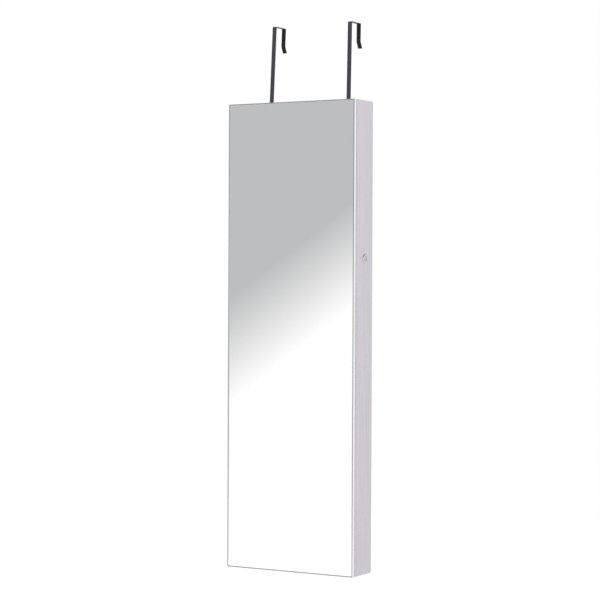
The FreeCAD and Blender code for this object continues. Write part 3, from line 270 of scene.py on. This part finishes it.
def pieceFrom(name, grids, material, body, replaced, smoothUnder=40):
    # Each grid is rows of points, every row a ring round the piece: quads join a ring to the next, and a
    # flat face closes each end. All grids become one mesh.
    points, faces = [], []
    for grid in grids:
        rows, across = grid.shape[:2]
        index = sum(len(p) for p in points) + np.arange(rows * across).reshape(rows, across)
        near, far = index[:-1], index[1:]
        quads = np.stack([near, np.roll(near, -1, 1), np.roll(far, -1, 1), far], -1)
        faces += quads.reshape(-1, 4).tolist() + [index[0, ::-1].tolist(), index[-1].tolist()]
        points.append(grid.reshape(-1, 3))
    mesh = bpy.data.meshes.new(name)
    mesh.from_pydata(np.concatenate(points), [], faces)
    work = bmesh.new()
    work.from_mesh(mesh)
    bmesh.ops.remove_doubles(work, verts=work.verts, dist=0.002 * mm)
    bmesh.ops.recalc_face_normals(work, faces=work.faces)
    work.to_mesh(mesh)
    work.free()
    mesh.polygons.foreach_set("use_smooth", np.ones(len(mesh.polygons), dtype=bool))
    mesh.set_sharp_from_angle(angle=math.radians(smoothUnder))
    mesh.materials.append(material)
    made = bpy.data.objects.new(name, mesh)
    bpy.context.scene.collection.objects.link(made)
    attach(made, body)
    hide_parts(*replaced)
    return made


def screwGrid(tip, into, sizes):
    # A countersunk cross-recess screw, its profile turned about its axis: flat head, cone, shank and point.
    # The head's surface sinks by the recess depth where a point lies inside either arm of the cross, with
    # sloped walls.
    head, shank, length = sizes["head"], sizes["shank"], sizes["length"]
    turn = np.linspace(0, 2 * np.pi, 48, endpoint=False)
    rings = 15
    faceRadii = np.linspace(0.02, 1, rings) * (head - 0.15)
    radii = np.concatenate([faceRadii, [head, head - 0.02, shank + 0.1, shank, shank, 0.25]])
    cone = head - shank
    depths = np.concatenate([np.zeros(rings), [0.12, 0.3, cone + 0.2, cone + 0.6, length - 1.6, length - 0.05]])
    across = radii[:, None] * np.cos(turn)
    along = radii[:, None] * np.sin(turn)
    arm, reach = sizes["arm"], sizes["reach"]
    first = np.clip((arm - abs(across)) / 0.2, 0, 1) * np.clip((reach - abs(along)) / 0.45, 0, 1)
    second = np.clip((arm - abs(along)) / 0.2, 0, 1) * np.clip((reach - abs(across)) / 0.45, 0, 1)
    sunk = np.maximum(first, second) * sizes["depth"]
    sunk[rings:] = 0
    deep = np.broadcast_to(depths[:, None], sunk.shape) + sunk
    into = np.array(into, float)
    side = np.cross(into, (0.3, 0.5, 0.81))
    side /= np.linalg.norm(side)
    other = np.cross(into, side)
    spot = np.array(tip, float)
    return (spot + across[..., None] * side + along[..., None] * other + deep[..., None] * into) * mm


def leaned(point, pivot, degrees):
    # a point of the XZ plane turned about the pivot so that what is above it leans to the right
    a = math.radians(degrees)
    x, z = point[0] - pivot[0], point[1] - pivot[1]
    return pivot[0] + x * math.cos(a) + z * math.sin(a), pivot[1] + z * math.cos(a) - x * math.sin(a)


# Sizes in mm; each hook's screws turn with its strap about the point between them.
screws = {
    "hinge": {"head": 2.3, "shank": 1.3, "length": 14, "arm": 0.42, "reach": 1.35, "depth": 1.1},
    "door": {"head": 2.3, "shank": 1.3, "length": 6.6, "arm": 0.42, "reach": 1.35, "depth": 1.1},
    "catch": {"head": 2.3, "shank": 1.3, "length": 8.5, "arm": 0.42, "reach": 1.35, "depth": 1.1},
    "hook": {"head": 3.5, "shank": 2, "length": 14, "arm": 0.55, "reach": 2.1, "depth": 1.3},
    "hingeHeights": [117, 143, 587, 613, 1057, 1083],
    "hookPivots": {"left": ((-117.1, 1163), 2.4), "right": ((113.3, 1163), 0.9)},
}
grids = [screwGrid((-179, -37.1, z), (0, 1, 0), screws["hinge"]) for z in screws["hingeHeights"]]
pieceFrom("hingeCabinetScrews", grids, zinc, "cabinet", ["hinge_cabinet_screws"])
grids = [screwGrid((-179, -37.4, z), (0, -1, 0), screws["door"]) for z in screws["hingeHeights"]]
pieceFrom("hingeDoorScrews", grids, zinc, "door", ["hinge_door_screws"])
grids = [screwGrid((161.7, -36.5, z), (0, -1, 0), screws["door"]) for z in (790, 810)]
grids += [screwGrid((166, -37, z), (0, -1, 0), screws["door"]) for z in (490, 514)]
pieceFrom("doorFittingScrews", grids, zinc, "door", ["door_fitting_screws"])
grids = [screwGrid((168.5, -29.7, z), (1, 0, 0), screws["catch"]) for z in (477.5, 526.5)]
pieceFrom("catchScrews", grids, zinc, "cabinet", ["catch_screws"])
for side, (pivot, lean) in screws["hookPivots"].items():
    spots = [leaned((pivot[0], pivot[1] + rise), pivot, lean) for rise in (-13, 13)]
    grids = [screwGrid((x, 50, z), (0, -1, 0), screws["hook"]) for x, z in spots]
    pieceFrom(f"hookScrews{side.capitalize()}", grids, powderBlack, "cabinet",
              [f"hook_{side}_screws"])
print("screws made")


def tubeGrid(path, radii, around=20):
    # A round wire: at each path point a circle of that point's radius, square to the path's direction.
    path = np.array(path, float)
    ahead = np.gradient(path, axis=0)
    ahead /= np.linalg.norm(ahead, axis=1, keepdims=True)
    side = np.tile([1.0, 0, 0], (len(path), 1))
    other = np.cross(ahead, side)
    turn = np.linspace(0, 2 * np.pi, around, endpoint=False)
    ring = np.cos(turn)[None, :, None] * side[:, None] + np.sin(turn)[None, :, None] * other[:, None]
    return (path[:, None] + np.array(radii)[:, None, None] * ring) * mm


# Bent wire pegs: straight out of the rail, a quarter turn upwards, and a rounded tip.
pegs = {"radius": 1.6, "bend": 3.2, "rail": 36.3, "reach": 17, "height": 815, "tip": 8, "pitch": 30,
        "count": 10}
bendTurn = np.linspace(0, np.pi / 2, 9)
frontY = pegs["rail"] - pegs["reach"]
pathY = np.concatenate([[pegs["rail"]], frontY + pegs["bend"] * (1 - np.sin(bendTurn)), np.full(7, frontY)])
tipTurn = np.linspace(0, 0.97, 7) * np.pi / 2
tipZ = pegs["height"] + pegs["tip"] - pegs["radius"] * (1 - np.sin(tipTurn))
pathZ = np.concatenate([[pegs["height"]], pegs["height"] + pegs["bend"] * (1 - np.cos(bendTurn)), tipZ])
radii = np.concatenate([np.full(10, pegs["radius"]), pegs["radius"] * np.cos(tipTurn)])
pegPlaces = [(n - (pegs["count"] - 1) / 2) * pegs["pitch"] for n in range(pegs["count"])]
grids = [tubeGrid(np.stack([np.full(len(pathY), x), pathY, pathZ], 1), radii) for x in pegPlaces]
pieceFrom("necklacePegs", grids, nickel, "cabinet", ["necklace_pegs"])
print("pegs made")


def feltSheet(name, low, high, thin, rounding=0.4, waver=0.12):
    # A sheet between two corners in mm, thin along one axis. Its outer face is a grid that dips to the back
    # face at the rim over the rounding distance, as a quarter circle, with a slow waver from sums of sines.
    low, high = np.array(low, float), np.array(high, float)
    flat = [axis for axis in range(3) if axis != thin["axis"]]
    size = high - low
    counts = [max(12, int(size[axis] / 12)) for axis in flat]
    rim = np.array([0, 0.15, 0.5, 1.0]) * rounding
    lines = [np.concatenate([rim, np.linspace(rounding, length - rounding, n)[1:-1], length - rim[::-1]])
             for length, n in zip(size[flat], counts)]
    u, v = np.meshgrid(*lines, indexing="ij")
    edge = np.minimum.reduce([u, size[flat[0]] - u, v, size[flat[1]] - v])
    rise = np.sqrt(np.clip(1 - (1 - np.clip(edge / rounding, 0, 1)) ** 2, 0, 1))
    slow = 0.5 + 0.25 * np.sin(u / 31 + v / 53) + 0.25 * np.sin(v / 23 - u / 71 + 1.3)
    thickness = size[thin["axis"]]
    height = 0.25 * thickness + rise * (0.75 * thickness - waver * slow)
    grid = np.zeros((*u.shape, 3))
    grid[..., flat[0]], grid[..., flat[1]] = low[flat[0]] + u, low[flat[1]] + v
    start = low[thin["axis"]] if thin["out"] > 0 else high[thin["axis"]]
    grid[..., thin["axis"]] = start + thin["out"] * height
    under = grid.copy()
    under[..., thin["axis"]] = start
    rows, across = u.shape
    top = np.arange(rows * across).reshape(rows, across)
    bottom = top + rows * across
    quads = [np.stack([side[:-1, :-1], side[1:, :-1], side[1:, 1:], side[:-1, 1:]], -1).reshape(-1, 4)
             for side in (top, bottom)]
    ring = np.concatenate([top[0, :-1], top[:-1, -1], top[-1, :0:-1], top[:0:-1, 0]])
    ringUnder = ring + rows * across
    quads.append(np.stack([ring, np.roll(ring, -1), np.roll(ringUnder, -1), ringUnder], -1))
    mesh = bpy.data.meshes.new(name)
    points = np.concatenate([grid.reshape(-1, 3), under.reshape(-1, 3)]) * mm
    mesh.from_pydata(points, [], np.concatenate(quads).tolist())
    work = bmesh.new()
    work.from_mesh(mesh)
    bmesh.ops.recalc_face_normals(work, faces=work.faces)
    work.to_mesh(mesh)
    work.free()
    mesh.polygons.foreach_set("use_smooth", np.ones(len(mesh.polygons), dtype=bool))
    mesh.set_sharp_from_angle(angle=math.radians(50))
    mesh.materials.append(felt)
    made = bpy.data.objects.new(name, mesh)
    bpy.context.scene.collection.objects.link(made)
    return made, [size[axis] * mm for axis in flat]


mats = {"x": 172.7, "front": -23.7, "back": 44, "wall": 1.2,
        "floors": {"bottom_board": 12, "lower_shelf": 160, "middle_shelf": 300, "upper_shelf": 440}}
for number, (carrier, z) in enumerate(mats["floors"].items()):
    low, high = (-mats["x"], mats["front"], z), (mats["x"], mats["back"], z + mats["wall"])
    mat, flat = feltSheet(f"shelfMat{number + 1}", low, high, {"axis": 2, "out": 1})
    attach(mat, "cabinet")
    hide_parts("shelf_mats")
lining, flat = feltSheet("backLining", (-172.7, 44.3, 12.3), (172.7, 45.5, 1008), {"axis": 1, "out": -1})
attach(lining, "cabinet")
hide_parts("back_lining")
lining, flat = feltSheet("doorLining", (-168, -38, 17), (148, -36.8, 1183), {"axis": 1, "out": 1})
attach(lining, "door")
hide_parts("door_lining")

# Felt strips inside the hooks' rear legs, which keep the steel off the room door.
pads = {"half": 5.1, "front": 95.7, "back": 96.5, "low": 1363.3, "high": 1403}
for side, (pivot, lean) in screws["hookPivots"].items():
    low = (pivot[0] - pads["half"], pads["front"], pads["low"])
    high = (pivot[0] + pads["half"], pads["back"], pads["high"])
    pad, flat = feltSheet(f"hookPad{side.capitalize()}", low, high, {"axis": 1, "out": -1})
    centre = Matrix.Translation((pivot[0] * mm, 0, pivot[1] * mm))
    pad.data.transform(centre @ Matrix.Rotation(math.radians(lean), 4, "Y") @ centre.inverted())
    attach(pad, "cabinet")

# Felt dots that soften the door's closing: a low dome with a rounded rim.
bumpers = {"x": 179, "heights": [30, 1170], "radius": 4, "base": -38, "wall": 1.2, "rim": 0.5}
rimTurn = np.linspace(0, np.pi / 2, 6)
profileR = np.concatenate([[bumpers["radius"]], bumpers["radius"] - bumpers["rim"] * (1 - np.cos(rimTurn)),
                           [2.2, 1, 0.1]])
profileY = np.concatenate([[0], bumpers["wall"] - 0.55 + bumpers["rim"] * np.sin(rimTurn),
                           bumpers["wall"] - np.array([0.03, 0.01, 0])])
turn = np.linspace(0, 2 * np.pi, 32, endpoint=False)
across, up = profileR[:, None] * np.cos(turn), profileR[:, None] * np.sin(turn)
outward = bumpers["base"] + np.broadcast_to(profileY[:, None], across.shape)
grids = [np.stack([bumpers["x"] + across, outward, z + up], -1) * mm for z in bumpers["heights"]]
pieceFrom("doorBumpers", grids, felt, "door", ["door_bumpers"])
print("felt laid and stretched")


# Ring rolls: foam bars in velvet, each a little flattened against its neighbours.
rolls = {"length": 344.8, "radius": 11.7, "y": 27.2, "first": 1020.3, "pitch": 25, "count": 4, "endRound": 5,
         "voxel": 4, "pressure": 4, "frames": 20, "mostMove": 0.9}


def rollGrid(z, seed):
    # A bar along X: its section is a circle squared a little (a superellipse of power 2.3), its radius falls
    # over the last few millimetres as a quarter circle, and swells and dips by slow sines along the bar.
    half, r, end = rolls["length"] / 2, rolls["radius"], rolls["endRound"]
    endTurn = np.linspace(0.02, 1, 7) * np.pi / 2
    inFromEnd = end * (1 - np.sin(endTurn[::-1]))
    x = np.concatenate([-half + inFromEnd, np.linspace(-half + end, half - end, 70)[1:-1], half - inFromEnd])
    x = np.sort(x)
    fromEnd = np.clip((half - abs(x)) / end, 0, 1)
    size = r - end * (1 - np.sqrt(np.clip(1 - (1 - fromEnd) ** 2, 0, 1)))
    size = size * (1 + 0.006 * np.sin(x / 17 + seed) + 0.006 * np.sin(x / 41 + 2 * seed))
    turn = np.linspace(0, 2 * np.pi, 40, endpoint=False)
    power = 2 / 2.3
    across = np.sign(np.cos(turn)) * abs(np.cos(turn)) ** power
    up = np.sign(np.sin(turn)) * abs(np.sin(turn)) ** power
    return np.stack([np.broadcast_to(x[:, None], (len(x), 40)), rolls["y"] + size[:, None] * across,
                     z + size[:, None] * up], -1) * mm


def applyAll(made):
    # swaps the mesh for the one that its modifiers give
    view = bpy.context.evaluated_depsgraph_get()
    view.update()
    fresh = bpy.data.meshes.new_from_object(made.evaluated_get(view))
    made.modifiers.clear()
    made.data = fresh


def puffed(made):
    # remeshes the piece, fills it with pressure for a few frames and keeps each point near its start
    scene = bpy.context.scene
    remesh = made.modifiers.new("voxels", "REMESH")
    remesh.mode, remesh.voxel_size = "VOXEL", rolls["voxel"] * mm
    applyAll(made)
    start = np.empty(len(made.data.vertices) * 3)
    made.data.vertices.foreach_get("co", start)
    cloth = made.modifiers.new("foam", "CLOTH")
    cloth.settings.use_pressure = True
    cloth.settings.uniform_pressure_force = rolls["pressure"]
    cloth.settings.effector_weights.gravity = 0
    cloth.settings.quality = 6
    for number in range(1, rolls["frames"] + 1):
        scene.frame_set(number)
    applyAll(made)
    scene.frame_set(1)
    end = np.empty_like(start)
    made.data.vertices.foreach_get("co", end)
    move = (end - start).reshape(-1, 3)
    size = np.linalg.norm(move, axis=1, keepdims=True)
    move *= np.minimum(1, rolls["mostMove"] * mm / np.maximum(size, 1e-9))
    made.data.vertices.foreach_set("co", (start.reshape(-1, 3) + move).ravel())
    made.data.update()


for number in range(rolls["count"]):
    z = rolls["first"] + number * rolls["pitch"]
    roll = pieceFrom(f"ringRoll{number + 1}", [rollGrid(z, number * 1.7)], velvet, "cabinet",
                     ["ring_rolls"], 80)
    puffed(roll)
    fine = roll.modifiers.new("smooth", "SUBSURF")
    fine.levels = fine.render_levels = 1
print("ring rolls stuffed")


# The floor that the room door stands on, under the hanging cabinet. Shiny surfaces meet a floor that turns grey
# away from the cabinet but stays white far off along one slanting line, whose half widths are in metres.
ground = {"doorHeight": 2.03, "hookTop": 1.406, "reach": 6.0, "glow": 1.3, "glowShare": 0.7,
          "lineSlope": -0.61, "lineHalf": (0.4, 1.2)}
reach = ground["reach"]
down = ground["hookTop"] - ground["doorHeight"]
floorMesh = bpy.data.meshes.new("studioFloor")
corners = [(-reach, -reach, down), (reach, -reach, down), (reach, reach, down), (-reach, reach, down)]
floorMesh.from_pydata(corners, [], [(0, 1, 2, 3)])
floor = bpy.data.objects.new("studioFloor", floorMesh)
bpy.context.scene.collection.objects.link(floor)
floorWhite, tree, shader = newMaterial("paleFloor", Roughness=0.9, Base_Color=linear("#F2F2F2"))
seen, rays = seenDirectly(tree)
place = addNode(tree, "TexCoord").outputs["Object"]
spot = addNode(tree, "SeparateXYZ", {0: place}).outputs
beside = addNode(tree, "Math", {0: spot["Y"], 1: ground["lineSlope"], 2: spot["X"]}, operation="MULTIPLY_ADD")
beside = addNode(tree, "Math", {0: beside.outputs[0]}, operation="ABSOLUTE").outputs[0]
beside = addNode(tree, "MapRange", {"Value": beside, "From Min": ground["lineHalf"][0],
                                    "From Max": ground["lineHalf"][1]}).outputs["Result"]
away = addNode(tree, "VectorMath", {0: place}, operation="LENGTH").outputs["Value"]
away = addNode(tree, "Math", {0: away, 1: reach}, operation="DIVIDE").outputs[0]
along = addNode(tree, "ValToRGB", {"Fac": away}, [(0.12, "#FFFFFF"), (0.7, "#FFFFFF"), (0.4, "#D2D2D4")])
astride = addNode(tree, "ValToRGB", {"Fac": away}, [(0.15, "#FFFFFF"), (1.0, "#C8C8CA")])
tone = addNode(tree, "Mix", {0: beside, 6: along.outputs["Color"], 7: astride.outputs["Color"]},
               data_type="RGBA").outputs[2]
tone = addNode(tree, "Mix", {0: rays["Is Glossy Ray"], 6: (1, 1, 1, 1), 7: tone}, data_type="RGBA").outputs[2]
glow = addNode(tree, "Emission", {"Color": tone, "Strength": ground["glow"]}).outputs[0]
share = addNode(tree, "Math", {0: seen, 1: ground["glowShare"]}, operation="MULTIPLY").outputs[0]
both = addNode(tree, "MixShader", {0: share, 1: shader.outputs[0], 2: glow}).outputs[0]
tree.links.new(both, tree.nodes["Material Output"].inputs["Surface"])
floorMesh.materials.append(floorWhite)

# The surroundings: plain white to the eye and for glass, an even soft light for matt surfaces. Shiny surfaces
# also meet a grey ceiling and, in front of the cabinet, a wall that turns grey between two slanted lines. To
# both sides of where the lines start, the wall fades slowly from the floor up.
room = {
    "evenLight": 0.66, "white": "#FFFFFF", "ceiling": "#A6A6AA", "ceilingRise": (0.2, 0.5),
    "frontY": (-0.15, -0.35), "lineStart": 0.610, "lowLine": (0.714, -0.0652), "highLine": (0.670, -0.0009),
    "wall": [(0.0, "#FFFFFF"), (1.0, "#BEBEC0"), (0.33, "#EAEAEA"), (0.66, "#D4D4D5")],
    "slowRise": (-0.45, 0.25), "slowMost": 0.9, "sideFade": (0.1, 0.3),
}
world = bpy.data.worlds.new("room")
bpy.context.scene.world = world
world.use_nodes = True
tree = world.node_tree
tree.nodes.clear()
way = addNode(tree, "SeparateXYZ", {0: addNode(tree, "TexCoord").outputs["Generated"]}).outputs
ahead = addNode(tree, "Math", {0: way["Y"], 1: -1.0}, operation="MULTIPLY").outputs[0]
ahead = addNode(tree, "Math", {0: ahead, 1: 0.05}, operation="MAXIMUM").outputs[0]
across = addNode(tree, "Math", {0: way["X"], 1: ahead}, operation="DIVIDE").outputs[0]
up = addNode(tree, "Math", {0: way["Z"], 1: ahead}, operation="DIVIDE").outputs[0]
slant = addNode(tree, "Math", {0: across, 1: room["lineStart"]}, operation="ADD").outputs[0]
lines = [addNode(tree, "Math", {0: slant, 1: slope, 2: height}, operation="MULTIPLY_ADD").outputs[0]
         for slope, height in (room["lowLine"], room["highLine"])]
part = addNode(tree, "MapRange", {"Value": up, "From Min": lines[0], "From Max": lines[1]}).outputs["Result"]
slow = addNode(tree, "MapRange", {"Value": up, "From Min": room["slowRise"][0], "From Max": room["slowRise"][1],
                                  "To Max": room["slowMost"]}).outputs["Result"]
aside = addNode(tree, "Math", {0: slant}, operation="ABSOLUTE").outputs[0]
turned = addNode(tree, "MapRange", {"Value": aside, "From Min": room["sideFade"][0],
                                    "From Max": room["sideFade"][1]}).outputs["Result"]
part = addNode(tree, "Mix", {0: turned, 2: part, 3: slow}, data_type="FLOAT").outputs[0]
wall = addNode(tree, "ValToRGB", {"Fac": part}, room["wall"]).outputs["Color"]
front = addNode(tree, "MapRange", {"Value": way["Y"], "From Min": room["frontY"][0],
                                   "From Max": room["frontY"][1]}).outputs["Result"]
wall = addNode(tree, "Mix", {0: front, 6: linear(room["white"]), 7: wall}, data_type="RGBA").outputs[2]
overhead = addNode(tree, "MapRange", {"Value": way["Z"], "From Min": room["ceilingRise"][0],
                                      "From Max": room["ceilingRise"][1]}).outputs["Result"]
wall = addNode(tree, "Mix", {0: overhead, 6: wall, 7: linear(room["ceiling"])}, data_type="RGBA").outputs[2]
seen, rays = seenDirectly(tree)
shiny = addNode(tree, "Mix", {0: rays["Is Glossy Ray"], 6: (1, 1, 1, 1), 7: wall}, data_type="RGBA").outputs[2]
strength = addNode(tree, "Mix", {0: seen, 2: room["evenLight"], 3: 1.0}, data_type="FLOAT").outputs[0]
sky = addNode(tree, "Background", {"Color": shiny, "Strength": strength}).outputs[0]
tree.links.new(sky, addNode(tree, "OutputWorld").inputs["Surface"])

# Large soft lamps: place, what they face, size in metres and power in watts.
lamps = {
    "keyLamp": ((3.6, -2.2, 2.6), (0, 0, 0.6), 2.4, 60),
    "fillLamp": ((-2.6, -3.6, 1.8), (0, 0, 0.6), 2.4, 40),
    "backLamp": ((0.6, 3.4, 2.4), (0, 0, 0.7), 2.2, 30),
}
for name, (place, target, size, power) in lamps.items():
    light = bpy.data.lights.new(name, "AREA")
    light.shape, light.size, light.energy = "SQUARE", size, power
    lamp = bpy.data.objects.new(name, light)
    bpy.context.scene.collection.objects.link(lamp)
    lamp.location = place
    lamp.rotation_euler = (Vector(target) - Vector(place)).to_track_quat("-Z", "Y").to_euler()
    lamp.visible_camera = False
    lamp.visible_glossy = False
print("lights set")

# The photograph's view: from the right and level, through a long lens.
shot = {"place": (2.4661, -4.2878, 0.7426), "turn": 29.892, "tilt": 89.441, "roll": 0.250, "lens": 115.365}
camera = bpy.data.cameras.new("camera")
camera.lens, camera.sensor_width = shot["lens"], 36
viewer = bpy.data.objects.new("camera", camera)
bpy.context.scene.collection.objects.link(viewer)
turns = [Matrix.Rotation(math.radians(shot[name]), 4, axis)
         for name, axis in (("turn", "Z"), ("tilt", "X"), ("roll", "Z"))]
viewer.matrix_world = Matrix.Translation(shot["place"]) @ turns[0] @ turns[1] @ turns[2]
camera.clip_end = 100
bpy.context.scene.camera = viewer
bpy.context.scene.view_settings.view_transform = "Standard"

print("camera set")
